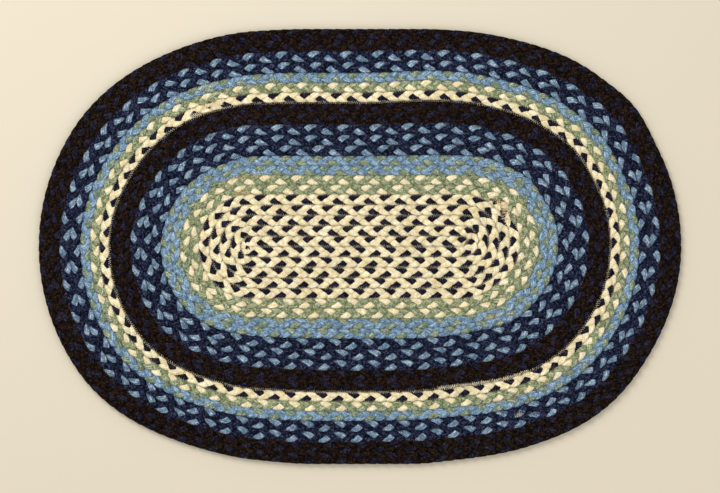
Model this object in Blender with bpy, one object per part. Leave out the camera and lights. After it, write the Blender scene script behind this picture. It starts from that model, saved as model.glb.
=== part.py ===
"""Oval braided rug: a spiral centre coil with sixteen butted braid rings laced round it.

Metres, +Z up.  The rug lies on z = 0 with its long side along X, centred on the origin.
Each round is a flat plait of three strands.  The plaits of the rings and of the coil are
swept here as crowned bands of their true width and thickness, one closed solid for each
length of plait.
"""
import math

import bmesh
import bpy

# Driving dimensions (metres, degrees)
RUG_LENGTH = 0.762
RUG_WIDTH = 0.516
THICKNESS = 0.0085
SEAM_GAP = 0.0003

# The centre coil winds round two centres on the rug's long axis.
COIL_WIDTH = 0.01235
COIL_TURNS = 5
COIL_LEFT = -0.1294
COIL_RIGHT = 0.1220
# The right-hand bends turn about a point half a plait higher, which makes the spiral.
SPIRAL_STEP = COIL_WIDTH / 2
TAIL_REACH = 0.3 * COIL_WIDTH
TAIL_HALF_WIDTH = 0.36 * COIL_WIDTH

# The last turn of the coil narrows and ends in a tucked corner at its upper right.
TUCK_START = 5.0
TUCK_END = 60.0
COIL_END = 54.0
COIL_TIP = 60.0
CORNER_BEARING = 47.0
CORNER_SPREAD = 17.0
CORNER_PUSH = 0.0118
CORNER_FADE = 3.0
# The hand-laced coil is a little slack at its lower right.
SLACK_BEARING = -50.0
SLACK_SPREAD = 40.0
SLACK_PUSH = -0.0030

# Where the rim leaves a true oval: flat shoulders, and one full spot on the right.
RIM_DENTS = (
    # bearing, spread (degrees), push outwards (metres)
    (27.0, 9.0, 0.0038),
    (54.0, 20.0, -0.0052),
    (131.0, 27.0, -0.0062),
    (231.0, 27.0, -0.0097),
    (296.0, 14.0, -0.0024),
    (309.0, 24.0, -0.0086),
    (338.0, 22.0, -0.0033),
)
# Where the middle rounds lie off their even share between coil and rim.
ROUND_SHIFTS = (
    # bearing, spread (degrees), push outwards (metres), strongest round, rounds it fades over
    (50.0, 18.0, 0.0025, 3, 4),
    (71.0, 20.0, 0.0028, 11, 11),
    (90.0, 50.0, -0.0011, 9, 30),
    (124.0, 16.0, -0.0016, 12, 6),
    (133.0, 20.0, -0.0034, 4, 3),
    (156.0, 24.0, -0.0031, 9, 30),
    (237.0, 14.0, -0.0018, 4, 4),
    (272.0, 28.0, 0.0017, 6, 6),
    (284.0, 20.0, -0.0020, 14, 4),
    (299.0, 19.0, -0.0034, 11, 11),
    (302.0, 18.0, 0.0022, 12, 3),
    (303.0, 17.0, -0.0045, 3, 5),
    (340.0, 24.0, 0.0018, 11, 10),
)

# Stations along each half-circle bend and each straight side
RING_BEND_STEPS = 24
COIL_BEND_STEPS = 12
SIDE_STEPS = 3

# Cross-section of a plait: a flat foot, full sides and a low crown
PROFILE = (
    # across (0 inner edge, 1 outer edge), height (0 floor, 1 crown)
    (0.14, 0.00),
    (0.86, 0.00),
    (1.00, 0.32),
    (0.98, 0.72),
    (0.76, 1.00),
    (0.24, 1.00),
    (0.02, 0.72),
    (0.00, 0.32),
)

# Jute yarn as dyed: name, sRGB colour, roughness
YARNS = {
    "cream": ("F0DDB0", 0.85),
    "green": ("8A9F72", 0.88),
    "blue": ("6F97C6", 0.88),
    "navy": ("1E2140", 0.90),
    "brown": ("21150F", 0.90),
}
COIL_YARN = "cream"
RINGS = (
    # yarn, width as a share of the mean round
    ("green", 0.950),
    ("green", 0.950),
    ("blue", 0.945),
    ("blue", 0.945),
    ("navy", 1.020),
    ("navy", 1.020),
    ("navy", 1.020),
    ("brown", 1.080),
    ("brown", 1.080),
    ("cream", 0.930),
    ("green", 0.950),
    ("blue", 0.940),
    ("navy", 1.045),
    ("navy", 1.045),
    ("brown", 1.040),
    ("brown", 1.040),
)


class Station:
    """A place along a plait: where its cross-section starts, which way it lies and how wide."""

    def __init__(self, anchor, bearing, inner, outer):
        self.anchor = anchor
        self.bearing = bearing
        self.inner = inner
        self.outer = outer

    def point(self, across, height):
        turn = math.radians(self.bearing)
        near = self.inner + SEAM_GAP / 2
        far = self.outer - SEAM_GAP / 2
        reach = near + across * (far - near)
        x = self.anchor[0] + reach * math.cos(turn)
        y = self.anchor[1] + reach * math.sin(turn)
        return (x, y, height * THICKNESS)


def bulge(bearing, centre, spread, push):
    """A soft swell or hollow: its full push at the centre, nothing beyond its spread."""
    away = abs((bearing - centre + 180.0) % 360.0 - 180.0)
    if away >= spread:
        return 0.0
    return push * (1.0 + math.cos(math.pi * away / spread)) / 2.0


def smooth_step(start, end, value):
    share = min(max((value - start) / (end - start), 0.0), 1.0)
    return share * share * (3.0 - 2.0 * share)


def bend_edge(bearing, plaits):
    """Distance from the right-hand anchor to the circle that a coil bend's edge follows."""
    turn = math.radians(bearing)
    radius = plaits * COIL_WIDTH
    offset = SPIRAL_STEP * math.cos(turn)
    return SPIRAL_STEP * math.sin(turn) + math.sqrt(radius ** 2 - offset ** 2)


def coil_edge(anchor_x, bearing):
    """Distance from the long axis to the coil's outline, without its tucked corner."""
    if anchor_x < COIL_RIGHT or bearing == 90.0:
        return COIL_TURNS * COIL_WIDTH
    last_turn = bend_edge(bearing, COIL_TURNS + 0.5)
    turn_before = bend_edge(bearing, COIL_TURNS - 0.5)
    tucked = smooth_step(TUCK_START, TUCK_END, bearing)
    slack = bulge(bearing, SLACK_BEARING, SLACK_SPREAD, SLACK_PUSH)
    return last_turn + tucked * (turn_before - last_turn) + slack


def flat_sided_oval(anchor_x, bearing):
    """Distance from the long axis to an even rim, and that point's bearing from the middle."""
    turn = math.radians(bearing)
    end_reach = RUG_LENGTH / 2 - abs(anchor_x)
    reach = RUG_WIDTH / 2 + (end_reach - RUG_WIDTH / 2) * abs(math.cos(turn))
    x = anchor_x + reach * math.cos(turn)
    y = reach * math.sin(turn)
    return reach, math.degrees(math.atan2(y, x))


def width_share(ring):
    """How much of the way from the coil to the rim the first rings take up."""
    widths = [width for yarn, width in RINGS]
    return sum(widths[:ring]) / sum(widths)


def round_shift(ring, place):
    """How far a seam lies off its even share: not at all beside the coil and at the rim."""
    free = 1.0 - abs(2.0 * ring / len(RINGS) - 1.0) ** 4
    shift = 0.0
    for spot, spread, push, strongest, fade in ROUND_SHIFTS:
        shift += bulge(place, spot, spread, push) * bulge(ring, strongest, fade, 1.0)
    return free * shift


def ring_edge(ring, anchor_x, bearing):
    """Distance from the long axis to the seam outside a ring; ring 0 is the coil itself."""
    inside = coil_edge(anchor_x, bearing)
    even_rim, place = flat_sided_oval(anchor_x, bearing)
    outside = even_rim + sum(bulge(place, *dent) for dent in RIM_DENTS)
    corner = 0.0
    if anchor_x == COIL_RIGHT:
        push = CORNER_PUSH * math.exp(-ring / CORNER_FADE)
        corner = bulge(bearing, CORNER_BEARING, CORNER_SPREAD, push)
    return inside + (outside - inside) * width_share(ring) + round_shift(ring, place) + corner


def ring_places():
    """Anchor and bearing of every station on the way round, counter-clockwise."""
    places = []
    for anchor_x, next_x, start in ((COIL_RIGHT, COIL_LEFT, -90.0), (COIL_LEFT, COIL_RIGHT, 90.0)):
        for step in range(RING_BEND_STEPS):
            places.append((anchor_x, start + 180.0 * step / RING_BEND_STEPS))
        for step in range(SIDE_STEPS):
            places.append((anchor_x + (next_x - anchor_x) * step / SIDE_STEPS, start + 180.0))
    return places


def ring_stations(ring):
    stations = []
    for anchor_x, bearing in ring_places():
        inner = ring_edge(ring - 1, anchor_x, bearing)
        outer = ring_edge(ring, anchor_x, bearing)
        stations.append(Station((anchor_x, 0.0), bearing, inner, outer))
    return stations


def coil_stations():
    """The spiral from its tail in the middle to its tucked end at the upper right."""
    width = COIL_WIDTH
    half = TAIL_HALF_WIDTH
    tail_x = COIL_RIGHT + TAIL_REACH
    stations = [
        Station((tail_x, 0.0), 90.0, width / 2 - half, width / 2 + half),
        Station((COIL_RIGHT, 0.0), 90.0, 0.0, width),
    ]
    bend = [180.0 * step / COIL_BEND_STEPS for step in range(COIL_BEND_STEPS + 1)]
    for turn in range(COIL_TURNS):
        for turned in bend:
            inner = turn * width
            stations.append(Station((COIL_LEFT, 0.0), 90.0 + turned, inner, inner + width))
        if turn == COIL_TURNS - 1:
            break
        for turned in bend:
            inner = (turn + 0.5) * width
            stations.append(Station((COIL_RIGHT, SPIRAL_STEP), turned - 90.0, inner, inner + width))
    last_bend = [bearing for x, bearing in ring_places() if x == COIL_RIGHT and bearing <= COIL_END]
    for bearing in last_bend + [COIL_TIP]:
        inner = bend_edge(bearing, COIL_TURNS - 0.5)
        outer = ring_edge(0, COIL_RIGHT, bearing)
        stations.append(Station((COIL_RIGHT, 0.0), bearing, inner, outer))
    return stations


def linear_channel(value):
    """One sRGB channel, 0 to 1, as linear light."""
    if value <= 0.04045:
        return value / 12.92
    return ((value + 0.055) / 1.055) ** 2.4


def yarn_material(yarn):
    name = "jute_" + yarn
    if name in bpy.data.materials:
        return bpy.data.materials[name]
    hex_colour, roughness = YARNS[yarn]
    channels = [int(hex_colour[i:i + 2], 16) / 255 for i in (0, 2, 4)]
    material = bpy.data.materials.new(name)
    material.use_nodes = True
    shader = material.node_tree.nodes["Principled BSDF"]
    shader.inputs["Base Color"].default_value = (*map(linear_channel, channels), 1.0)
    shader.inputs["Roughness"].default_value = roughness
    shader.inputs["Metallic"].default_value = 0.0
    return material


def plait(name, stations, closed, yarn, rug):
    """Sweep the plait's cross-section through its stations as one closed solid."""
    shape = bmesh.new()
    loops = []
    for station in stations:
        loops.append([shape.verts.new(station.point(*corner)) for corner in PROFILE])
    spans = len(loops) if closed else len(loops) - 1
    corners = len(PROFILE)
    for span in range(spans):
        here = loops[span]
        there = loops[(span + 1) % len(loops)]
        for corner in range(corners):
            beyond = (corner + 1) % corners
            shape.faces.new((here[corner], there[corner], there[beyond], here[beyond]))
    if not closed:
        shape.faces.new(loops[0])
        shape.faces.new(list(reversed(loops[-1])))
    bmesh.ops.recalc_face_normals(shape, faces=shape.faces)
    mesh = bpy.data.meshes.new(name)
    shape.to_mesh(mesh)
    shape.free()
    mesh.shade_smooth()
    mesh.materials.append(yarn_material(yarn))
    piece = bpy.data.objects.new(name, mesh)
    piece.parent = rug
    bpy.context.scene.collection.objects.link(piece)
    return piece


def build_rug():
    rug = bpy.data.objects.new("rug", None)
    bpy.context.scene.collection.objects.link(rug)
    plait("centre_coil", coil_stations(), False, COIL_YARN, rug)
    for ring, (yarn, width) in enumerate(RINGS, start=1):
        plait(f"ring_{ring:02d}_{yarn}", ring_stations(ring), True, yarn, rug)


for old in list(bpy.data.objects):
    bpy.data.objects.remove(old)
build_rug()
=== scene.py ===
"""Looks of the oval braided rug: plaits of three jute strands, laced side to side.

The routes are those of the solids, in metres.  One geometry tree swings three strands along
each route, and a second one zigzags the lacing thread over each seam between two rounds.
"""
import math

import bpy
import numpy as np
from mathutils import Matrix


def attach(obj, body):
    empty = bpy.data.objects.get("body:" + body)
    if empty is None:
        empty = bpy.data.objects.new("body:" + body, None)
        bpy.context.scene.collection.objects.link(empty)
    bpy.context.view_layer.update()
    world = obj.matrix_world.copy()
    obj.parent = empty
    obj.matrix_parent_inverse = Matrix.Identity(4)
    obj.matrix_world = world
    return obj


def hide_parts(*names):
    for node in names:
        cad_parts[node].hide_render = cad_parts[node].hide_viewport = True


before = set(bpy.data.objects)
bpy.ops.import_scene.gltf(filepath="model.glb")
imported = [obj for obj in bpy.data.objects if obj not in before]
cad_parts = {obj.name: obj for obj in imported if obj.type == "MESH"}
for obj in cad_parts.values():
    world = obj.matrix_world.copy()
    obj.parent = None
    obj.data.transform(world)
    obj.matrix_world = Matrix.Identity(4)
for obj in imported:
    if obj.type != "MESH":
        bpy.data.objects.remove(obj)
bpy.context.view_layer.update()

# --- The rug's own sizes, as in the solids (metres, degrees) ---
RUG_LENGTH = 0.762
RUG_WIDTH = 0.516
THICKNESS = 0.0085

COIL_WIDTH = 0.01235
COIL_TURNS = 5
COIL_LEFT = -0.1294
COIL_RIGHT = 0.1220
SPIRAL_STEP = COIL_WIDTH / 2
# How far the tail reaches past the first straight, and half its width there
TAIL_REACH = 0.3 * COIL_WIDTH
TAIL_HALF_WIDTH = 0.36 * COIL_WIDTH

# The coil's last bend draws in to a tucked tip, which pushes a soft corner into the first rounds;
# lower down the same bend hangs a little slack
TUCK_START = 5.0
TUCK_END = 60.0
COIL_TIP = 60.0
CORNER_BEARING = 47.0
CORNER_SPREAD = 17.0
CORNER_PUSH = 0.0118
CORNER_FADE = 3.0
SLACK_BEARING = -50.0
SLACK_SPREAD = 40.0
SLACK_PUSH = -0.0030

# The rim's swells and flats, and how far the seams between the rounds lie off their even share
RIM_DENTS = (
    # bearing, spread (degrees), push outwards (metres)
    (27.0, 9.0, 0.0038),
    (54.0, 20.0, -0.0052),
    (131.0, 27.0, -0.0062),
    (231.0, 27.0, -0.0097),
    (296.0, 14.0, -0.0024),
    (309.0, 24.0, -0.0086),
    (338.0, 22.0, -0.0033),
)
ROUND_SHIFTS = (
    # bearing, spread (degrees), push outwards (metres), strongest round, rounds it fades over
    (50.0, 18.0, 0.0025, 3, 4),
    (71.0, 20.0, 0.0028, 11, 11),
    (90.0, 50.0, -0.0011, 9, 30),
    (124.0, 16.0, -0.0016, 12, 6),
    (133.0, 20.0, -0.0034, 4, 3),
    (156.0, 24.0, -0.0031, 9, 30),
    (237.0, 14.0, -0.0018, 4, 4),
    (272.0, 28.0, 0.0017, 6, 6),
    (284.0, 20.0, -0.0020, 14, 4),
    (299.0, 19.0, -0.0034, 11, 11),
    (302.0, 18.0, 0.0022, 12, 3),
    (303.0, 17.0, -0.0045, 3, 5),
    (340.0, 24.0, 0.0018, 11, 10),
)

# The coil's outline and the rim are not shifted; the larger this is, the sooner the seams
# between them are free
HOLD_POWER = 4
# Steps a bend or a side is first drawn in, before a route is divided evenly
FINE_STEPS = 180
# Guards a division by a width that could be nothing (metres)
LEAST_WIDTH = 1e-6

# --- How each round is plaited ---
# One period of a plait, in which each strand crosses over to the far edge and comes back
PLAIT_PITCH = {
    # yarn: metres along the plait
    "green": 0.0375,
    "blue": 0.0380,
    "navy": 0.0390,
    "brown": 0.0390,
    "cream": 0.0375,
}
RINGS = (
    # yarn, width (share of the mean round), and where an accent lozenge at the outer edge stands
    # on the lower and on the upper side, read from the photograph (metres right of the middle)
    ("green", 0.950, 0.010, 0.008),
    ("green", 0.950, -0.017, -0.001),
    ("blue", 0.945, -0.002, -0.004),
    ("blue", 0.945, 0.012, -0.013),
    ("navy", 1.020, -0.011, -0.011),
    ("navy", 1.020, -0.002, 0.019),
    ("navy", 1.020, -0.004, 0.018),
    ("brown", 1.080, -0.002, 0.007),
    ("brown", 1.080, 0.019, 0.000),
    ("cream", 0.930, 0.011, 0.009),
    ("green", 0.950, 0.014, 0.005),
    ("blue", 0.940, 0.012, -0.008),
    ("navy", 1.045, -0.005, -0.014),
    ("navy", 1.045, -0.005, -0.017),
    ("brown", 1.040, -0.017, 0.012),
    ("brown", 1.040, 0.017, -0.003),
)
# The coil's own pitch (metres), and how many more turns its plait packs into the tightest bend
COIL_PITCH = 0.0367
TIGHT_BEND_GAIN = 0.55
# Where an accent lozenge at the outer edge stands on each straight side of the coil, from its
# tail outwards, read from the photograph (metres right of the middle)
COIL_LOZENGES = (0.012, -0.018, -0.014, 0.014, 0.012, -0.007, -0.002, 0.005, -0.007, 0.017)
# The share of its period at which a strand lies on top at the plait's outer edge
OUTER_LOZENGE = 0.375
# A hand plait is drawn in and let out a little as it goes: how far, and over what length (metres)
PLAIT_DRIFT = 0.0010
DRIFT_LENGTH = 0.30

# A strand is a soft flat bundle of spun yarns
STRANDS = 3
STRAND_WIDTH = 0.0072
STRAND_THICKNESS = 0.0043
STRAND_SIDES = 10
POINTS_A_PERIOD = 14
# How square its outline is: 1 is an ellipse, less is fuller
FULLNESS = 0.6
# At its highest, its middle line is this share of its thickness below the plait's face
CREST_DEPTH = 0.55
STRAND_RISE = THICKNESS / 2 - CREST_DEPTH * STRAND_THICKNESS
# Strands run straight from seam to seam and fold there, pressed flat by the next round.  Their
# middle line swings over this share of the plait's width; the next two flatten the sideways wave
# and the one up and down (below nothing they point it), and the rise leads by a share of its wave.
STRAND_REACH = 0.86
FOLD = -0.02
CREST = 0.10
RISE_LEAD = 0.02
# A strand is squeezed at its fold and spreads where it lies over the middle, by this share
SQUEEZE = 0.10
# It also strays sideways (metres) and swells (share), with noise of this scale
LOOSENESS = 0.0008
PLUMPNESS = 0.16
STRAY_SCALE = 45.0
# Each round's noise is read this far from the one before it
SEED_STEP = 10

# --- Lacing ---
# Length of a stitch, there and back, and the thread's width (metres)
ZIGZAG = 0.0026
THREAD_WIDTH = 0.00055
THREAD_SIDES = 4
# How far the thread stands proud of the strands it lies on (metres), and how uneven its legs are
THREAD_LIFT = 0.00005
UNEVENNESS = 0.25
LACING_SEED = 7
# The thread is dropped on the plaits from this height, over this length at most (metres)
DROP_HEIGHT = 0.05
DROP_LENGTH = 0.1
# The coil's own seam: thread, reach inwards, reach outwards (metres).  It is sewn from the first
# bend on, so the first points of the tail are left out.
COIL_STITCH = ("cream", 0.0016, 0.0014)
TAIL_POINTS = 2
SEAMS = (
    # thread, reach inwards, reach outwards (metres), from the coil's outline to the rim round
    ("cream", 0.0013, 0.0012),
    ("green", 0.0012, 0.0012),
    ("green", 0.0012, 0.0014),
    ("blue", 0.0012, 0.0012),
    ("navy", 0.0023, 0.0010),
    ("navy", 0.0012, 0.0012),
    ("navy", 0.0012, 0.0012),
    ("brown", 0.0014, 0.0012),
    ("brown", 0.0012, 0.0012),
    ("cream", 0.0020, 0.0012),
    ("green", 0.0012, 0.0012),
    ("blue", 0.0014, 0.0012),
    ("navy", 0.0020, 0.0010),
    ("navy", 0.0012, 0.0012),
    ("brown", 0.0014, 0.0012),
    ("brown", 0.0012, 0.0012),
)
# Butted ends and mended places, oversewn with longer and closer stitches.  Where the photograph
# shows the stitches packed thick, two or three lengths lie on almost the same place.
OVERSEWN = (
    # seam, where its middle is read in the photograph (metres right of and above the rug's
    # middle), length, reach inwards, reach outwards (metres), thread
    (0, 0.176, 0.048, 0.034, 0.0085, 0.0004, "cream"),
    (0, 0.176, 0.049, 0.036, 0.0080, 0.0006, "tan"),
    (0, -0.139, 0.065, 0.018, 0.0004, 0.0055, "tan"),
    (2, -0.143, 0.082, 0.056, 0.0020, 0.0012, "tan"),
    (3, 0.158, -0.085, 0.018, 0.0050, 0.0004, "tan"),
    (4, 0.155, -0.097, 0.052, 0.0030, 0.0010, "navy"),
    (4, -0.150, 0.102, 0.022, 0.0004, 0.0048, "navy"),
    (7, -0.157, 0.139, 0.018, 0.0055, 0.0004, "navy"),
    (7, -0.180, 0.132, 0.012, 0.0055, 0.0004, "navy"),
    (9, 0.147, -0.163, 0.110, 0.0038, 0.0010, "cream"),
    (9, -0.195, 0.154, 0.022, 0.0006, 0.0046, "cream"),
    (10, -0.1752, 0.171, 0.022, 0.0060, 0.0002, "cream"),
    (10, -0.1760, 0.171, 0.022, 0.0060, 0.0002, "cream"),
    (10, -0.1756, 0.171, 0.026, 0.0062, 0.0004, "tan"),
    (11, 0.177, -0.181, 0.050, 0.0020, 0.0012, "tan"),
    (12, -0.182, 0.192, 0.030, 0.0052, 0.0004, "green"),
    (12, 0.173, -0.194, 0.014, 0.0004, 0.0052, "navy"),
    (13, 0.1886, -0.202, 0.014, 0.0060, 0.0002, "navy"),
    (13, 0.1894, -0.202, 0.014, 0.0060, 0.0002, "navy"),
    (13, 0.189, -0.202, 0.010, 0.0046, 0.0004, "cream"),
    (13, 0.210, -0.195, 0.012, 0.0004, 0.0060, "navy"),
)
# Length of a stitch there (metres), and points in each of its two legs
OVERSEWN_ZIGZAG = 0.0022
POINTS_A_LEG = 4


# ---------------------------------------------------------------- routes

def bulge(bearing, centre, spread, push):
    """A soft swell or hollow: its full push at the centre, nothing beyond its spread."""
    away = np.abs((bearing - centre + 180.0) % 360.0 - 180.0)
    return np.where(away < spread, push * (1.0 + np.cos(np.pi * away / spread)) / 2.0, 0.0)


def smooth_step(start, end, value):
    """A soft rise from 0 at the start to 1 at the end."""
    share = np.clip((value - start) / (end - start), 0.0, 1.0)
    return share * share * (3.0 - 2.0 * share)


def bend_edge(bearing, plaits):
    """Distance from the right-hand anchor to the circle that a coil bend's edge follows."""
    turn = np.radians(bearing)
    radius = plaits * COIL_WIDTH
    offset = SPIRAL_STEP * np.cos(turn)
    return SPIRAL_STEP * np.sin(turn) + np.sqrt(radius ** 2 - offset ** 2)


def coil_edge(anchor_x, bearing):
    """Distance from the long axis to the coil's outline, without its tucked corner."""
    last_turn = bend_edge(bearing, COIL_TURNS + 0.5)
    turn_before = bend_edge(bearing, COIL_TURNS - 0.5)
    tucked = smooth_step(TUCK_START, TUCK_END, bearing)
    slack = bulge(bearing, SLACK_BEARING, SLACK_SPREAD, SLACK_PUSH)
    bend = last_turn + tucked * (turn_before - last_turn) + slack
    on_bend = (anchor_x >= COIL_RIGHT) & (bearing != 90.0)
    return np.where(on_bend, bend, COIL_TURNS * COIL_WIDTH)


def flat_sided_oval(anchor_x, bearing):
    """Distance from the long axis to an even rim, and that point's bearing from the middle."""
    turn = np.radians(bearing)
    end_reach = RUG_LENGTH / 2 - np.abs(anchor_x)
    reach = RUG_WIDTH / 2 + (end_reach - RUG_WIDTH / 2) * np.abs(np.cos(turn))
    x = anchor_x + reach * np.cos(turn)
    y = reach * np.sin(turn)
    return reach, np.degrees(np.arctan2(y, x))


def width_share(ring):
    """How much of the way from the coil to the rim the first rings take up."""
    widths = [width for yarn, width, lower_lozenge, upper_lozenge in RINGS]
    return sum(widths[:ring]) / sum(widths)


def round_shift(ring, place):
    """How far a seam lies off its even share: not at all beside the coil and at the rim."""
    free = 1.0 - abs(2.0 * ring / len(RINGS) - 1.0) ** HOLD_POWER
    shift = 0.0
    for spot, spread, push, strongest, fade in ROUND_SHIFTS:
        shift = shift + bulge(place, spot, spread, push) * bulge(ring, strongest, fade, 1.0)
    return free * shift


def ring_edge(ring, anchor_x, bearing):
    """Distance from the long axis to the seam outside a ring; ring 0 is the coil itself."""
    inside = coil_edge(anchor_x, bearing)
    even_rim, place = flat_sided_oval(anchor_x, bearing)
    outside = even_rim + sum(bulge(place, *dent) for dent in RIM_DENTS)
    push = CORNER_PUSH * math.exp(-ring / CORNER_FADE)
    corner = bulge(bearing, CORNER_BEARING, CORNER_SPREAD, push) * (anchor_x == COIL_RIGHT)
    return inside + (outside - inside) * width_share(ring) + round_shift(ring, place) + corner


def ring_places():
    """Anchors and bearings on the way round, counter-clockwise from the lower right."""
    share = np.arange(FINE_STEPS) / FINE_STEPS
    still = np.ones(FINE_STEPS)
    span = COIL_LEFT - COIL_RIGHT
    anchor_x = [COIL_RIGHT * still, COIL_RIGHT + share * span]
    anchor_x += [COIL_LEFT * still, COIL_LEFT - share * span]
    bearing = [180.0 * share - 90.0, 90.0 * still, 180.0 * share + 90.0, 270.0 * still]
    return np.concatenate(anchor_x), np.concatenate(bearing)


def points_at(anchor_x, anchor_y, bearing, reach):
    """Points at a distance from their anchors, in the direction of a bearing."""
    turn = np.radians(bearing)
    return np.stack([anchor_x + reach * np.cos(turn), anchor_y + reach * np.sin(turn)], axis=-1)


def ring_seam(ring):
    """The seam outside a ring, counter-clockwise from the lower right."""
    anchor_x, bearing = ring_places()
    return points_at(anchor_x, 0.0, bearing, ring_edge(ring, anchor_x, bearing))


def coil_seams():
    """The inner and the outer seam of the coil's plait, from its tail to its tucked end."""
    width = COIL_WIDTH
    tail_edges = (width / 2 - TAIL_HALF_WIDTH, width / 2 + TAIL_HALF_WIDTH)
    rows = [(COIL_RIGHT + TAIL_REACH, 0.0, 90.0, *tail_edges), (COIL_RIGHT, 0.0, 90.0, 0.0, width)]
    bend = 180.0 * np.arange(FINE_STEPS + 1) / FINE_STEPS
    for turn in range(COIL_TURNS):
        inner = turn * width
        rows += [(COIL_LEFT, 0.0, 90.0 + turned, inner, inner + width) for turned in bend]
        if turn == COIL_TURNS - 1:
            break
        inner += width / 2
        rows += [(COIL_RIGHT, SPIRAL_STEP, turned - 90.0, inner, inner + width) for turned in bend]
    for bearing in np.linspace(-90.0, COIL_TIP, FINE_STEPS):
        inner = bend_edge(bearing, COIL_TURNS - 0.5)
        rows.append((COIL_RIGHT, 0.0, bearing, inner, ring_edge(0, COIL_RIGHT, bearing)))
    *place, inner, outer = np.array(rows, dtype=float).T
    return points_at(*place, inner), points_at(*place, outer)


def run_along(points):
    """How far along a line each of its points is."""
    steps = np.linalg.norm(np.diff(points, axis=0), axis=1)
    return np.concatenate([[0.0], np.cumsum(steps)])


class Route:
    """The middle of a plait between its two seams, divided into even steps."""

    def __init__(self, inner, outer, closed):
        if closed:
            inner = np.vstack([inner, inner[:1]])
            outer = np.vstack([outer, outer[:1]])
        self.inner = inner
        self.outer = outer
        self.closed = closed
        self.run = run_along((inner + outer) / 2)
        self.length = self.run[-1]

    def divide(self, count):
        """Distances along, middle points, outward directions and half widths."""
        along = np.linspace(0.0, self.length, count, endpoint=not self.closed)
        inner = np.stack([np.interp(along, self.run, self.inner[:, axis]) for axis in (0, 1)], axis=1)
        outer = np.stack([np.interp(along, self.run, self.outer[:, axis]) for axis in (0, 1)], axis=1)
        width = np.linalg.norm(outer - inner, axis=1)
        across = (outer - inner) / np.maximum(width, LEAST_WIDTH)[:, None]
        return along, (inner + outer) / 2, across, width / 2


def ring_turns(ring, along, route):
    """The plait's turns round a ring, a whole number from lozenge to lozenge."""
    yarn, width, lower_lozenge, upper_lozenge = RINGS[ring - 1]
    upper = route.run[FINE_STEPS] + COIL_RIGHT - upper_lozenge
    lower = route.length - COIL_RIGHT + lower_lozenge
    left_way = lower - upper
    right_way = route.length - left_way
    left_turns = round(left_way / PLAIT_PITCH[yarn])
    right_turns = round(right_way / PLAIT_PITCH[yarn])
    past = (along - upper) % route.length
    waves = round(route.length / DRIFT_LENGTH)
    past = past + PLAIT_DRIFT * np.sin(math.tau * waves * past / route.length)
    turns = np.interp(past, [0.0, left_way, route.length], [0, left_turns, left_turns + right_turns])
    return turns + OUTER_LOZENGE


def coil_turns(along):
    """The plait's turns in the coil, a whole number from lozenge to lozenge, more in tight bends."""
    side_length = COIL_RIGHT - COIL_LEFT
    side_start = TAIL_REACH
    places = [0.0]
    gains = [0.0]
    lozenges = []
    for side, lozenge in enumerate(COIL_LOZENGES):
        runs_left = side % 2 == 0
        lozenges.append(side_start + (COIL_RIGHT - lozenge if runs_left else lozenge - COIL_LEFT))
        bend = side + 1
        bend_start = side_start + side_length
        side_start = bend_start + math.pi * COIL_WIDTH * bend / 2
        places += [bend_start, side_start]
        gains += [gains[-1], gains[-1] + TIGHT_BEND_GAIN / bend]

    def even_turns(at):
        return at / COIL_PITCH + np.interp(at, places, gains)

    even = even_turns(np.array(lozenges))
    counted = np.concatenate([[0.0], np.cumsum(np.round(np.diff(even)))])
    return even_turns(along) + np.interp(along, lozenges, counted - even) + OUTER_LOZENGE


# ---------------------------------------------------------------- meshes and trees

def add(tree, kind, inputs=None, **settings):
    """Add a node: settings are its properties, inputs are values, sockets or nodes."""
    made = tree.nodes.new(kind)
    for name, value in settings.items():
        setattr(made, name, value)
    for key, value in (inputs or {}).items():
        socket = made.inputs[key]
        if isinstance(value, bpy.types.Node):
            value = next(output for output in value.outputs if output.enabled)
        if isinstance(value, bpy.types.NodeSocket):
            tree.links.new(value, socket)
        else:
            socket.default_value = value
    return made


def named(tree, name, kind="FLOAT"):
    """A value that the mesh carries at each point, read by its name."""
    return add(tree, "GeometryNodeInputNamedAttribute", {"Name": name}, data_type=kind)


def path_piece(name, points, closed, **values):
    """A line of points and edges, with one value or direction a point for the tree to read."""
    count = len(points)
    mesh = bpy.data.meshes.new(name)
    last = count if closed else count - 1
    edges = [(here, (here + 1) % count) for here in range(last)]
    mesh.from_pydata(points.tolist(), edges, [])
    for key, value in values.items():
        is_direction = value.ndim == 2
        attribute = mesh.attributes.new(key, "FLOAT_VECTOR" if is_direction else "FLOAT", "POINT")
        field = "vector" if is_direction else "value"
        attribute.data.foreach_set(field, np.ascontiguousarray(value, dtype=np.float32).ravel())
    piece = bpy.data.objects.new(name, mesh)
    bpy.context.scene.collection.objects.link(piece)
    return piece


def new_tree(name, sockets):
    """A geometry tree with its named inputs; returns the tree and its input node."""
    tree = bpy.data.node_groups.new(name, "GeometryNodeTree")
    tree.interface.new_socket("Geometry", in_out="INPUT", socket_type="NodeSocketGeometry")
    tree.interface.new_socket("Geometry", in_out="OUTPUT", socket_type="NodeSocketGeometry")
    for label, kind in sockets:
        tree.interface.new_socket(label, in_out="INPUT", socket_type="NodeSocket" + kind)
    return tree, tree.nodes.new("NodeGroupInput")


def finish_tree(tree, geometry):
    """Make one real mesh of what a tree has built, shaded smooth."""
    whole = add(tree, "GeometryNodeRealizeInstances", {"Geometry": geometry})
    smooth = add(tree, "GeometryNodeSetShadeSmooth", {"Geometry": whole})
    add(tree, "NodeGroupOutput", {"Geometry": smooth})
    return tree


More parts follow.
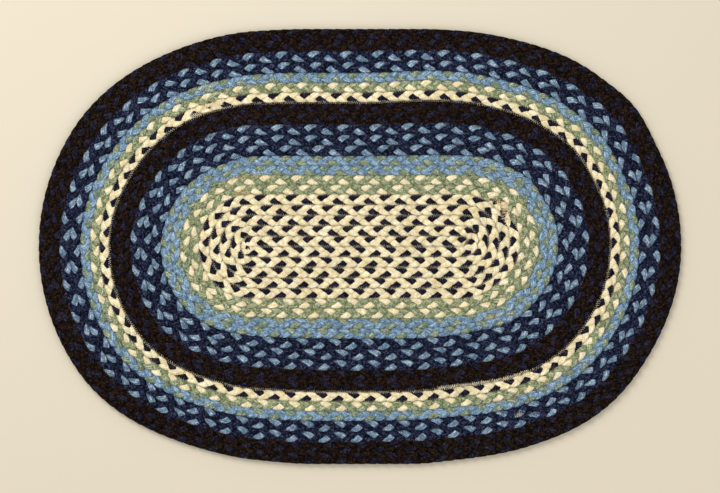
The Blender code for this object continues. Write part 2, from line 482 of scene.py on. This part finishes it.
def baked(piece, tree, values):
    """Run a tree on a piece and keep only the plain mesh that comes out."""
    modifier = piece.modifiers.new(tree.name, "NODES")
    modifier.node_group = tree
    for item in tree.interface.items_tree:
        if item.in_out == "INPUT" and item.name in values:
            modifier[item.identifier] = values[item.name]
    evaluated = piece.evaluated_get(bpy.context.evaluated_depsgraph_get())
    mesh = bpy.data.meshes.new_from_object(evaluated)
    mesh.name = piece.name
    piece.modifiers.clear()
    route = piece.data
    piece.data = mesh
    bpy.data.meshes.remove(route)
    return piece


def bundle_outline(tree, given):
    """The strand's outline as a closed curve: a full, flat oval that starts at its underside."""
    index = add(tree, "GeometryNodeInputIndex")
    share = add(tree, "ShaderNodeMath", {0: index, 1: given.outputs["Sides"]}, operation="DIVIDE")
    angle = add(tree, "ShaderNodeMath",
                {0: share, 1: math.tau, 2: math.pi / 2}, operation="MULTIPLY_ADD")
    sizes = []
    for wave, size in (("COSINE", "Strand Width"), ("SINE", "Strand Thickness")):
        swing = add(tree, "ShaderNodeMath", {0: angle}, operation=wave)
        depth = add(tree, "ShaderNodeMath", {0: swing}, operation="ABSOLUTE")
        full = add(tree, "ShaderNodeMath", {0: depth, 1: given.outputs["Fullness"]}, operation="POWER")
        side = add(tree, "ShaderNodeMath", {0: swing}, operation="SIGN")
        signed = add(tree, "ShaderNodeMath", {0: full, 1: side}, operation="MULTIPLY")
        half = add(tree, "ShaderNodeMath", {0: given.outputs[size], 1: 0.5}, operation="MULTIPLY")
        sizes.append(add(tree, "ShaderNodeMath", {0: signed, 1: half}, operation="MULTIPLY"))
    place = add(tree, "ShaderNodeCombineXYZ", {"X": sizes[0], "Y": sizes[1]})
    circle = add(tree, "GeometryNodeCurvePrimitiveCircle", {"Resolution": given.outputs["Sides"]})
    oval = add(tree, "GeometryNodeSetPosition", {"Geometry": circle, "Position": place})
    girth = add(tree, "GeometryNodeSplineParameter")
    return add(tree, "GeometryNodeStoreNamedAttribute",
               {"Geometry": oval, "Name": "around", "Value": girth.outputs["Factor"]})


def shaped_wave(tree, angle, flatness):
    """A sine with some of its third harmonic: flat crests, or pointed ones if negative."""
    thrice = add(tree, "ShaderNodeMath", {0: angle, 1: 3.0}, operation="MULTIPLY")
    ripple = add(tree, "ShaderNodeMath", {0: thrice}, operation="SINE")
    wave = add(tree, "ShaderNodeMath", {0: angle}, operation="SINE")
    mixed = add(tree, "ShaderNodeMath", {0: ripple, 1: flatness, 2: wave}, operation="MULTIPLY_ADD")
    crest = add(tree, "ShaderNodeMath", {0: 1.0, 1: flatness}, operation="SUBTRACT")
    return add(tree, "ShaderNodeMath", {0: mixed, 1: crest}, operation="DIVIDE")


def pressed_flat(tree, tube, across, half_width):
    """Strands stop at the seams of their round, where the next round lies against them."""
    middle = named(tree, "middle", "FLOAT_VECTOR")
    where = add(tree, "GeometryNodeInputPosition")
    apart = add(tree, "ShaderNodeVectorMath", {0: where, 1: middle}, operation="SUBTRACT")
    aside = add(tree, "ShaderNodeVectorMath", {0: apart, 1: across}, operation="DOT_PRODUCT")
    other_edge = add(tree, "ShaderNodeMath", {0: half_width, 1: -1.0}, operation="MULTIPLY")
    kept = add(tree, "ShaderNodeClamp",
               {"Value": aside.outputs["Value"], "Min": other_edge, "Max": half_width})
    back = add(tree, "ShaderNodeMath", {0: kept, 1: aside.outputs["Value"]}, operation="SUBTRACT")
    shift = add(tree, "ShaderNodeVectorMath", {0: across, "Scale": back}, operation="SCALE")
    return add(tree, "GeometryNodeSetPosition", {"Geometry": tube, "Offset": shift})


def plait_tree():
    """Three strands swing from edge to edge along a route, each over one and under the next."""
    sockets = [("Strand Width", "Float"), ("Strand Thickness", "Float"), ("Fullness", "Float"),
               ("Reach", "Float"), ("Fold", "Float"), ("Rise", "Float"), ("Rise Lead", "Float"),
               ("Crest", "Float"), ("Squeeze", "Float"), ("Looseness", "Float"), ("Sides", "Int"),
               ("Seed", "Float"), ("Ground Yarn", "Material"), ("Accent Yarn", "Material")]
    tree, given = new_tree("plait", sockets)
    route = add(tree, "GeometryNodeMeshToCurve", {"Mesh": given.outputs["Geometry"]})
    strands = add(tree, "GeometryNodeDuplicateElements",
                  {"Geometry": route, "Amount": STRANDS}, domain="SPLINE")
    number = strands.outputs["Duplicate Index"]
    numbered = add(tree, "GeometryNodeStoreNamedAttribute",
                   {"Geometry": strands, "Name": "strand", "Value": number}, data_type="INT")

    turns = named(tree, "turns")
    across = named(tree, "across", "FLOAT_VECTOR")
    half_width = named(tree, "half_width")
    strand = named(tree, "strand", "INT")
    behind = add(tree, "ShaderNodeMath", {0: strand, 1: STRANDS}, operation="DIVIDE")
    turned = add(tree, "ShaderNodeMath", {0: turns, 1: behind}, operation="ADD")
    angle = add(tree, "ShaderNodeMath", {0: turned, 1: math.tau}, operation="MULTIPLY")

    where = add(tree, "GeometryNodeInputPosition")
    placed = add(tree, "GeometryNodeStoreNamedAttribute",
                 {"Geometry": numbered, "Name": "middle", "Value": where}, data_type="FLOAT_VECTOR")
    apart = add(tree, "ShaderNodeMath", {0: strand, 1: given.outputs["Seed"]}, operation="ADD")
    wander = add(tree, "ShaderNodeTexNoise",
                 {"Vector": where, "W": apart, "Scale": STRAY_SCALE, "Detail": 1.0},
                 noise_dimensions="4D")
    drift = add(tree, "ShaderNodeVectorMath",
                {0: wander.outputs["Color"], 1: (0.5, 0.5, 0.5)}, operation="SUBTRACT")
    drifts = add(tree, "ShaderNodeSeparateXYZ", {0: drift})

    swing = shaped_wave(tree, angle, given.outputs["Fold"])
    reach = add(tree, "ShaderNodeMath",
                {0: half_width, 1: given.outputs["Reach"]}, operation="MULTIPLY")
    loose = add(tree, "ShaderNodeMath",
                {0: drifts.outputs["X"], 1: given.outputs["Looseness"]}, operation="MULTIPLY")
    sideways = add(tree, "ShaderNodeMath", {0: swing, 1: reach, 2: loose}, operation="MULTIPLY_ADD")
    aside = add(tree, "ShaderNodeVectorMath", {0: across, "Scale": sideways}, operation="SCALE")

    lead = add(tree, "ShaderNodeMath",
               {0: given.outputs["Rise Lead"], 1: math.tau}, operation="MULTIPLY")
    twice = add(tree, "ShaderNodeMath", {0: angle, 1: 2.0, 2: lead}, operation="MULTIPLY_ADD")
    crossing = shaped_wave(tree, twice, given.outputs["Crest"])
    depth = add(tree, "ShaderNodeMath", {0: given.outputs["Rise"], 1: -1.0}, operation="MULTIPLY")
    height = add(tree, "ShaderNodeMath", {0: crossing, 1: depth}, operation="MULTIPLY")
    upwards = add(tree, "ShaderNodeCombineXYZ", {"Z": height})
    offset = add(tree, "ShaderNodeVectorMath", {0: aside, 1: upwards}, operation="ADD")
    swung = add(tree, "GeometryNodeSetPosition", {"Geometry": placed, "Offset": offset})
    level = add(tree, "GeometryNodeSetCurveNormal", {"Curve": swung}, mode="Z_UP")

    plump = add(tree, "ShaderNodeMath",
                {0: drifts.outputs["Y"], 1: PLUMPNESS, 2: 1.0}, operation="MULTIPLY_ADD")
    over_middle = add(tree, "ShaderNodeMath", {0: twice}, operation="COSINE")
    spread = add(tree, "ShaderNodeMath",
                 {0: over_middle, 1: given.outputs["Squeeze"], 2: plump}, operation="MULTIPLY_ADD")
    outline = bundle_outline(tree, given)
    tube = add(tree, "GeometryNodeCurveToMesh",
               {"Curve": level, "Profile Curve": outline, "Scale": spread, "Fill Caps": True})
    pressed = pressed_flat(tree, tube, across, half_width)
    ground = add(tree, "GeometryNodeSetMaterial",
                 {"Geometry": pressed, "Material": given.outputs["Ground Yarn"]})
    is_accent = add(tree, "FunctionNodeCompare", {2: strand, 3: 0}, data_type="INT", operation="EQUAL")
    dyed = add(tree, "GeometryNodeSetMaterial",
               {"Geometry": ground, "Selection": is_accent, "Material": given.outputs["Accent Yarn"]})
    return finish_tree(tree, dyed)


def lacing_tree():
    """A thread that zigzags over a seam, its turns drawn down onto the plaits below it."""
    sockets = [("Plaits", "Collection"), ("Thread Width", "Float"), ("Lift", "Float"),
               ("Unevenness", "Float"), ("Seed", "Int"), ("Thread", "Material")]
    tree, given = new_tree("lacing", sockets)
    plaits = add(tree, "GeometryNodeCollectionInfo", {"Collection": given.outputs["Plaits"]})
    cloth = add(tree, "GeometryNodeRealizeInstances", {"Geometry": plaits})

    across = named(tree, "across", "FLOAT_VECTOR")
    reach = named(tree, "reach")
    uneven = add(tree, "FunctionNodeRandomValue", {"Seed": given.outputs["Seed"]}, data_type="FLOAT")
    # Input 2 is the lower bound of the number drawn; the upper one stays at 1
    uneven.inputs[2].default_value = -1.0
    change = add(tree, "ShaderNodeMath",
                 {0: uneven, 1: given.outputs["Unevenness"], 2: 1.0}, operation="MULTIPLY_ADD")
    swing = add(tree, "ShaderNodeMath", {0: reach, 1: change}, operation="MULTIPLY")
    aside = add(tree, "ShaderNodeVectorMath", {0: across, "Scale": swing}, operation="SCALE")
    zigzag = add(tree, "GeometryNodeSetPosition",
                 {"Geometry": given.outputs["Geometry"], "Offset": aside})

    above = add(tree, "ShaderNodeCombineXYZ", {"Z": DROP_HEIGHT})
    where = add(tree, "GeometryNodeInputPosition")
    source = add(tree, "ShaderNodeVectorMath", {0: where, 1: above}, operation="ADD")
    towards = add(tree, "ShaderNodeVectorMath", {0: above, "Scale": -1.0}, operation="SCALE")
    hit = add(tree, "GeometryNodeRaycast",
              {"Target Geometry": cloth, "Source Position": source, "Ray Direction": towards,
               "Ray Length": DROP_LENGTH})
    proud = add(tree, "ShaderNodeCombineXYZ", {"Z": given.outputs["Lift"]})
    resting = add(tree, "ShaderNodeVectorMath",
                  {0: hit.outputs["Hit Position"], 1: proud}, operation="ADD")
    laid = add(tree, "GeometryNodeSetPosition",
               {"Geometry": zigzag, "Selection": hit.outputs["Is Hit"], "Position": resting})
    line = add(tree, "GeometryNodeMeshToCurve", {"Mesh": laid})
    half = add(tree, "ShaderNodeMath",
               {0: given.outputs["Thread Width"], 1: 0.5}, operation="MULTIPLY")
    outline = add(tree, "GeometryNodeCurvePrimitiveCircle",
                  {"Resolution": THREAD_SIDES, "Radius": half})
    tube = add(tree, "GeometryNodeCurveToMesh",
               {"Curve": line, "Profile Curve": outline, "Fill Caps": True})
    thread = add(tree, "GeometryNodeSetMaterial",
                 {"Geometry": tube, "Material": given.outputs["Thread"]})
    return finish_tree(tree, thread)


def corner_uv(piece, length):
    """The strands' own UV map: metres along each strand, and 0 to 1 around it."""
    mesh = piece.data
    corners = np.empty(len(mesh.loops), dtype=np.int32)
    mesh.loops.foreach_get("vertex_index", corners)
    starts = np.empty(len(mesh.polygons), dtype=np.int32)
    mesh.polygons.foreach_get("loop_start", starts)
    sides = np.diff(np.append(starts, len(corners)))
    uv = np.empty((len(corners), 2), dtype=np.float32)
    for column, (key, lap) in enumerate((("along", length), ("around", 1.0))):
        value = np.empty(len(mesh.vertices), dtype=np.float32)
        mesh.attributes[key].data.foreach_get("value", value)
        at_corner = value[corners]
        highest = np.repeat(np.maximum.reduceat(at_corner, starts), sides)
        uv[:, column] = np.where(highest - at_corner > lap / 2, at_corner + lap, at_corner)
    for key in ("along", "around", "across", "middle", "half_width", "turns", "strand"):
        mesh.attributes.remove(mesh.attributes[key])
    layer = mesh.uv_layers.new(name="lay")
    layer.data.foreach_set("uv", uv.ravel())


# ---------------------------------------------------------------- yarns

def linear(hex_colour):
    """An sRGB hex colour as linear RGBA."""
    channels = []
    for start in (0, 2, 4):
        value = int(hex_colour[start:start + 2], 16) / 255
        channels.append(value / 12.92 if value <= 0.04045 else ((value + 0.055) / 1.055) ** 2.4)
    return (*channels, 1.0)


DYES = {
    # dye: shade, sunlit fibre, dark twist (painted shade in the grooves and on the sides, and darker
    # slubs), stray fibre, how speckled (0 smooth, 1 coarse)
    "cream": ("ECE4C4", "FFFFF2", "CDB886", "BFA873", 0.36),
    "green": ("95A380", "D3D2B2", "526040", "D2C898", 0.9),
    "blue": ("7BA6CE", "BAD7ED", "4A6072", "B8C2B5", 0.8),
    "olive": ("94A483", "CACCA8", "54614B", "8298A5", 1.0),
    "light_blue": ("8BA5AE", "CADDE8", "415670", "516785", 0.8),
    "navy": ("0D1124", "2F3758", "030613", "606785", 0.8),
    "brown": ("130D08", "2C211C", "020101", "4E3627", 0.8),
    "dark_navy": ("181629", "322E40", "07070F", "46414D", 1.0),
}
# How far the dark twist colour is mixed into the others, as shares
SHADE_DEPTH = 0.60
LIT_DEPTH = 0.42
STRAY_DEPTH = 0.45
THREADS = {
    # thread: slot, its own shade, its flecks
    "cream": ("jute_cream", "ECE4C4", "BFA873"),
    "tan": ("jute_cream", "A9864F", "D8C290"),
    "green": ("jute_green", "98A582", "D3C898"),
    "blue": ("jute_blue", "7EA6C9", "B0A87C"),
    "navy": ("jute_navy", "131A34", "3C4260"),
    "brown": ("jute_brown", "140C09", "643E26"),
}
ACCENTS = {
    # ground yarn: the third strand's dye
    "cream": "dark_navy",
    "green": "cream",
    "blue": "olive",
    "navy": "light_blue",
    "brown": "dark_navy",
}

# Yarns lie side by side in a strand with a slow twist; three of them show on its face
YARNS_AROUND = 8.0
# Lengths of one twist, one slub and one ply, and sizes of fibre, stray and shade patch (metres)
YARN_LAY = 0.090
YARN_SLUB = 0.0045
PLY_LAY = 0.0024
FIBRE_GRAIN = 0.0016
STRAY_GRAIN = 0.0019
SHADE_PATCH = 0.012
# How far apart two neighbouring yarns read the slub noise
YARN_APART = 7.3
# Share of the way around, from the top, at which a strand's face ends, and the soft edges there of the
# painted shade on its sides and tucked sides
FACE_SHARE = 0.17
SIDE_SHADE_EDGE = (FACE_SHARE - 0.03, FACE_SHARE + 0.05)
TUCK_SHADE_EDGE = (FACE_SHARE + 0.08, FACE_SHARE + 0.02)
# Noise or fold values between which each effect comes in
GROOVE_EDGE = (0.26, 0.5)
LIT_EDGE = (0.44, 0.68)
DARK_EDGE = (0.46, 0.28)
STRAY_EDGE = (0.58, 0.66)
FLECK_EDGE = (0.45, 0.65)
MIDDLE_NOISE = (0.3, 0.7)
# How strongly each effect covers what lies under it (shares); the groove and side effects are painted
# shade
DARK_COVER = 0.7
GROOVE_SHADE_COVER = 0.75
STRAY_COVER = 0.8
SIDE_SHADE_COVER = 0.6
# Brightness of a strand's tucked sides, dimmed as painted shade, and of its dullest and brightest
# patches (shares)
TUCK_SHADE_LEVEL = 0.55
PATCH_LEVELS = (0.9, 1.1)
# Relief: its height in metres, its share from the fibres, and its strength, which speckle raises
RELIEF_HEIGHT = 0.0006
FIBRE_RELIEF = 0.8
RELIEF_STRENGTH = 0.4


def deepened(colour, dark, share):
    """A linear colour taken a share of the way to a darker one."""
    return tuple(own + share * (deep - own) for own, deep in zip(colour, dark))


def blend(tree, factor, under, over):
    """Two colours mixed by a factor: none of it shows the first, all of it the second."""
    return add(tree, "ShaderNodeMix", {"Factor": factor, "A": under, "B": over}, data_type="RGBA")


def ramp(tree, value, low, high, at_low, at_high):
    """Map a value onto a new range and hold it there."""
    return add(tree, "ShaderNodeMapRange", {"Value": value, "From Min": low, "From Max": high,
                                            "To Min": at_low, "To Max": at_high})


def grain(tree, place, size, **inputs):
    """Noise of a real size in metres, in the piece's own place."""
    noise = add(tree, "ShaderNodeTexNoise", {"Vector": place, "Scale": 1.0 / size, **inputs})
    return noise.outputs["Fac"]


def jute(dye):
    """Spun jute: a matt, hairy bast yarn, lighter on its crests, with painted shade in the grooves of
    its twist and on a strand's sides.
    """
    *colours, speckle = DYES[dye]
    shade, lit, dark, stray = (linear(colour) for colour in colours)
    shade = deepened(shade, dark, SHADE_DEPTH)
    lit = deepened(lit, dark, LIT_DEPTH)
    stray = deepened(stray, dark, STRAY_DEPTH)
    material = bpy.data.materials.new("jute_yarn_" + dye)
    material.use_nodes = True
    tree = material.node_tree
    shader = tree.nodes["Principled BSDF"]
    shader.inputs["Roughness"].default_value = 0.9
    shader.inputs["IOR"].default_value = 1.45
    shader.inputs["Specular IOR Level"].default_value = 0.06

    uv = add(tree, "ShaderNodeUVMap", uv_map="lay")
    along = add(tree, "ShaderNodeSeparateXYZ", {0: uv})
    place = add(tree, "ShaderNodeTexCoord").outputs["Object"]

    # Yarns side by side: their number across the strand, and the groove between two
    twist = add(tree, "ShaderNodeMath",
                {0: along.outputs["X"], 1: 1.0 / YARN_LAY}, operation="MULTIPLY")
    yarn = add(tree, "ShaderNodeMath",
               {0: along.outputs["Y"], 1: YARNS_AROUND, 2: twist}, operation="MULTIPLY_ADD")
    number = add(tree, "ShaderNodeMath", {0: yarn}, operation="ROUND")
    fold = add(tree, "ShaderNodeMath", {0: yarn, 1: 0.5}, operation="PINGPONG")
    groove = ramp(tree, fold, *GROOVE_EDGE, 0.0, 1.0)

    # Slubs: each yarn has its own lighter and darker lengths
    slub_place = add(tree, "ShaderNodeCombineXYZ", {"X": along.outputs["X"], "Y": number})
    slub_scale = add(tree, "ShaderNodeVectorMath",
                     {0: slub_place, 1: (1.0 / YARN_SLUB, YARN_APART, 1.0)}, operation="MULTIPLY")
    slubs = grain(tree, slub_scale, 1.0, Detail=1.0)
    fibres = grain(tree, place, FIBRE_GRAIN, Detail=1.0)
    strays = grain(tree, place, STRAY_GRAIN, Detail=0.0, Distortion=0.6)
    patches = grain(tree, place, SHADE_PATCH, Detail=1.0)

    bright = blend(tree, ramp(tree, slubs, *LIT_EDGE, 0.0, 1.0), shade, lit)
    twisted = blend(tree, ramp(tree, slubs, *DARK_EDGE, 0.0, DARK_COVER), bright, dark)
    # Painted shade: the grooves between the yarns are darkened towards the dark twist colour
    hollow = add(tree, "ShaderNodeMath", {0: groove, 1: GROOVE_SHADE_COVER}, operation="MULTIPLY")
    groove_shaded = blend(tree, hollow, twisted, dark)
    stray_cover = ramp(tree, strays, *STRAY_EDGE, 0.0, STRAY_COVER * speckle)
    strayed = blend(tree, stray_cover, groove_shaded, stray)

    # Painted shade: a strand is darkened where it turns down between its neighbours
    off_face = add(tree, "ShaderNodeMath", {0: along.outputs["Y"], 1: 0.5}, operation="SUBTRACT")
    down = add(tree, "ShaderNodeMath", {0: off_face}, operation="ABSOLUTE")
    sides = blend(tree, ramp(tree, down, *SIDE_SHADE_EDGE, 0.0, SIDE_SHADE_COVER), strayed, dark)

    fuzz = ramp(tree, fibres, *MIDDLE_NOISE, 1.0 - speckle / 2, 1.0 + speckle / 2)
    dyed = ramp(tree, patches, *MIDDLE_NOISE, *PATCH_LEVELS)
    # Painted shade: a strand's tucked sides are dimmed further
    tucked = ramp(tree, down, *TUCK_SHADE_EDGE, TUCK_SHADE_LEVEL, 1.0)
    uneven = add(tree, "ShaderNodeMath", {0: fuzz, 1: dyed}, operation="MULTIPLY")
    level = add(tree, "ShaderNodeMath", {0: uneven, 1: tucked}, operation="MULTIPLY")
    coloured = add(tree, "ShaderNodeVectorMath", {0: sides, "Scale": level}, operation="SCALE")
    tree.links.new(coloured.outputs["Vector"], shader.inputs["Base Color"])

    ply = add(tree, "ShaderNodeMath",
              {0: along.outputs["X"], 1: 1.0 / PLY_LAY, 2: yarn}, operation="MULTIPLY_ADD")
    plies = add(tree, "ShaderNodeMath", {0: ply, 1: 0.5}, operation="PINGPONG")
    ridge = add(tree, "ShaderNodeMath", {0: groove, 1: -1.0, 2: plies}, operation="MULTIPLY_ADD")
    relief = add(tree, "ShaderNodeMath",
                 {0: fibres, 1: FIBRE_RELIEF, 2: ridge}, operation="MULTIPLY_ADD")
    strength = RELIEF_STRENGTH + RELIEF_STRENGTH * speckle
    bump = add(tree, "ShaderNodeBump",
               {"Height": relief, "Strength": strength, "Distance": RELIEF_HEIGHT})
    tree.links.new(bump.outputs["Normal"], shader.inputs["Normal"])
    return material


def lacing_thread(thread):
    """Spun lacing thread: fine and matt, with a little grain from its twist."""
    shade, flecks = (linear(colour) for colour in THREADS[thread][1:])
    material = bpy.data.materials.new("lacing_thread_" + thread)
    material.use_nodes = True
    tree = material.node_tree
    shader = tree.nodes["Principled BSDF"]
    shader.inputs["Roughness"].default_value = 0.75
    shader.inputs["Specular IOR Level"].default_value = 0.2
    place = add(tree, "ShaderNodeTexCoord").outputs["Object"]
    speckle = ramp(tree, grain(tree, place, FIBRE_GRAIN, Detail=1.0), *FLECK_EDGE, 0.0, 1.0)
    tree.links.new(blend(tree, speckle, shade, flecks).outputs["Result"], shader.inputs["Base Color"])
    return material


# ---------------------------------------------------------------- the rug

def add_plait(name, node, route, pitch, turns, yarn, tree, yarns, seed):
    """One plait along a route, in place of the solid of that node."""
    periods = round(route.length / pitch)
    along, middle, across, half_width = route.divide(periods * POINTS_A_PERIOD)
    height = np.full(len(along), THICKNESS / 2)
    points = np.column_stack([middle, height])
    level = np.column_stack([across, np.zeros(len(along))])
    piece = path_piece(name, points, route.closed, across=level, half_width=half_width,
                       turns=turns(along), along=along)
    values = {"Strand Width": STRAND_WIDTH, "Strand Thickness": STRAND_THICKNESS, "Fullness": FULLNESS,
              "Reach": STRAND_REACH, "Fold": FOLD, "Rise": STRAND_RISE, "Rise Lead": RISE_LEAD,
              "Crest": CREST, "Squeeze": SQUEEZE, "Looseness": LOOSENESS, "Sides": STRAND_SIDES,
              "Seed": float(seed), "Ground Yarn": yarns[yarn], "Accent Yarn": yarns[ACCENTS[yarn]]}
    baked(piece, tree, values)
    corner_uv(piece, route.length)
    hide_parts(node)
    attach(piece, "root")
    return piece


def add_plaits(yarns):
    """The coil and the rounds, from the middle outwards."""
    tree = plait_tree()
    coil = Route(*coil_seams(), closed=False)
    pieces = [add_plait("plait_coil", "centre_coil", coil, COIL_PITCH, coil_turns,
                        "cream", tree, yarns, 0)]
    for ring, row in enumerate(RINGS, start=1):
        yarn = row[0]
        route = Route(ring_seam(ring - 1), ring_seam(ring), closed=True)

        def turns(along, ring=ring, route=route):
            return ring_turns(ring, along, route)

        pieces.append(add_plait(f"plait_{ring:02d}_{yarn}", f"ring_{ring:02d}_{yarn}", route,
                                PLAIT_PITCH[yarn], turns, yarn, tree, yarns, ring * SEED_STEP))
    return pieces


def place_along(seam, right, above):
    """How far along a closed seam it comes closest to a spot on the rug."""
    whole = np.vstack([seam, seam[:1]])
    spot = np.array([right, above])
    steps = np.diff(whole, axis=0)
    lengths = np.linalg.norm(steps, axis=1)
    share = np.sum((spot - seam) * steps, axis=1) / lengths ** 2
    share = np.clip(share, 0.0, 1.0)
    away = np.linalg.norm(seam + share[:, None] * steps - spot, axis=1)
    nearest = np.argmin(away)
    return run_along(whole)[nearest] + share[nearest] * lengths[nearest]


def seam_line(name, seam, closed, reach_in, reach_out, leg_points, at):
    """The points of a zigzag along a seam; each leg of a stitch has a few of them."""
    if closed:
        seam = np.vstack([seam, seam[:1]])
    run = run_along(seam)
    middle = np.stack([np.interp(at % run[-1], run, seam[:, axis]) for axis in (0, 1)], axis=1)
    ahead = np.gradient(middle, axis=0)
    ahead /= np.linalg.norm(ahead, axis=1)[:, None]
    across = np.column_stack([ahead[:, 1], -ahead[:, 0], np.zeros(len(at))])
    legs = np.arange(len(at)) / leg_points
    swing = 1.0 - np.abs(legs % 2.0 - 1.0)
    reach = swing * (reach_in + reach_out) - reach_in
    points = np.column_stack([middle, np.full(len(at), THICKNESS / 2)])
    return path_piece(name, points, False, across=across, reach=reach)


def add_stitching(name, plaits, tree, seam, closed, stitch, at, leg_points, threads):
    """One length of lacing: a zigzag over a seam, draped on the plaits."""
    thread, reach_in, reach_out = stitch
    piece = seam_line(name, seam, closed, reach_in, reach_out, leg_points, at)
    values = {"Plaits": plaits, "Thread Width": THREAD_WIDTH, "Lift": THREAD_LIFT,
              "Unevenness": UNEVENNESS, "Seed": LACING_SEED, "Thread": threads[thread]}
    baked(piece, tree, values)
    for helper in ("across", "reach"):
        piece.data.attributes.remove(piece.data.attributes[helper])
    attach(piece, "root")


def add_lacing(plaits, threads):
    """A thread along every seam, and closer stitches over the oversewn places."""
    tree = lacing_tree()
    coil_seam = coil_seams()[0][TAIL_POINTS:]
    seams = [("coil", coil_seam, False, COIL_STITCH)]
    for ring, stitch in enumerate(SEAMS):
        seams.append((f"{ring:02d}", ring_seam(ring), True, stitch))
    for place, seam, closed, stitch in seams:
        whole = np.vstack([seam, seam[:1]]) if closed else seam
        length = run_along(whole)[-1]
        at = np.linspace(0.0, length, 2 * round(length / ZIGZAG), endpoint=False)
        name = f"lacing_{place}_{stitch[0]}"
        add_stitching(name, plaits, tree, seam, closed, stitch, at, 1, threads)
    for number, (ring, right, above, length, *reaches, thread) in enumerate(OVERSEWN, start=1):
        seam = ring_seam(ring)
        place = place_along(seam, right, above)
        steps = 2 * POINTS_A_LEG * round(length / OVERSEWN_ZIGZAG)
        at = np.linspace(place - length / 2, place + length / 2, steps)
        name = f"oversewing_{number:02d}_{thread}"
        add_stitching(name, plaits, tree, seam, True, (thread, *reaches), at, POINTS_A_LEG, threads)


def keep_together(name, pieces):
    """A collection that the lacing tree reads the plaits from."""
    group = bpy.data.collections.new(name)
    for piece in pieces:
        group.objects.link(piece)
    bpy.context.scene.collection.children.link(group)
    return group


# ---------------------------------------------------------------- floor, light and camera

# The photograph's width on the rug (metres), and the lens and sensor of the camera (millimetres)
PHOTO_SPAN = 0.8546
LENS = 100.0
SENSOR = 36.0
FARTHEST = 20.0

FLOOR_HALF = 3.0
FLOOR_COLOUR = "C8BEA9"
ROOM_COLOUR = "F4F4F4"
ROOM_STRENGTH = 0.82
LAMPS = (
    # name, place (metres), side of its square (metres), watts
    ("key_light", (-0.9, 1.1, 1.7), 1.2, 34.0),
    ("fill_light", (1.2, -0.9, 1.8), 2.0, 14.0),
)


def add_floor():
    """A pale matt floor under the rug, not attached to the rug's body."""
    mesh = bpy.data.meshes.new("floor")
    half = FLOOR_HALF
    corners = [(-half, -half, 0), (half, -half, 0), (half, half, 0), (-half, half, 0)]
    mesh.from_pydata(corners, [], [(0, 1, 2, 3)])
    floor = bpy.data.objects.new("floor", mesh)
    bpy.context.scene.collection.objects.link(floor)
    material = bpy.data.materials.new("pale_matt_floor")
    material.use_nodes = True
    shader = material.node_tree.nodes["Principled BSDF"]
    shader.inputs["Base Color"].default_value = linear(FLOOR_COLOUR)
    shader.inputs["Roughness"].default_value = 0.8
    mesh.materials.append(material)


def add_light(name, place, size, watts):
    """A square area lamp that faces the middle of the rug."""
    light = bpy.data.lights.new(name, "AREA")
    light.size = size
    light.energy = watts
    lamp = bpy.data.objects.new(name, light)
    lamp.location = place
    lamp.rotation_euler = (math.acos(place[2] / np.linalg.norm(place)), 0.0,
                           math.atan2(place[1], place[0]) + math.pi / 2)
    bpy.context.scene.collection.objects.link(lamp)


def add_studio():
    """Two soft lamps in a pale room."""
    for lamp in LAMPS:
        add_light(*lamp)
    world = bpy.data.worlds.new("soft_room")
    world.use_nodes = True
    background = world.node_tree.nodes["Background"]
    background.inputs["Color"].default_value = linear(ROOM_COLOUR)
    background.inputs["Strength"].default_value = ROOM_STRENGTH
    bpy.context.scene.world = world
    bpy.context.scene.view_settings.view_transform = "Standard"


def add_camera():
    """A long lens straight above the rug, as wide as the photograph."""
    camera = bpy.data.cameras.new("camera")
    camera.lens = LENS
    camera.sensor_width = SENSOR
    camera.clip_end = FARTHEST
    eye = bpy.data.objects.new("camera", camera)
    eye.location = (0.0, 0.0, THICKNESS / 2 + PHOTO_SPAN * LENS / SENSOR)
    bpy.context.scene.collection.objects.link(eye)
    bpy.context.scene.camera = eye


yarns = {dye: jute(dye) for dye in DYES}
threads = {thread: lacing_thread(thread) for thread in THREADS}
add_floor()
add_studio()
add_camera()
plaits = keep_together("plaits", add_plaits(yarns))
add_lacing(plaits, threads)
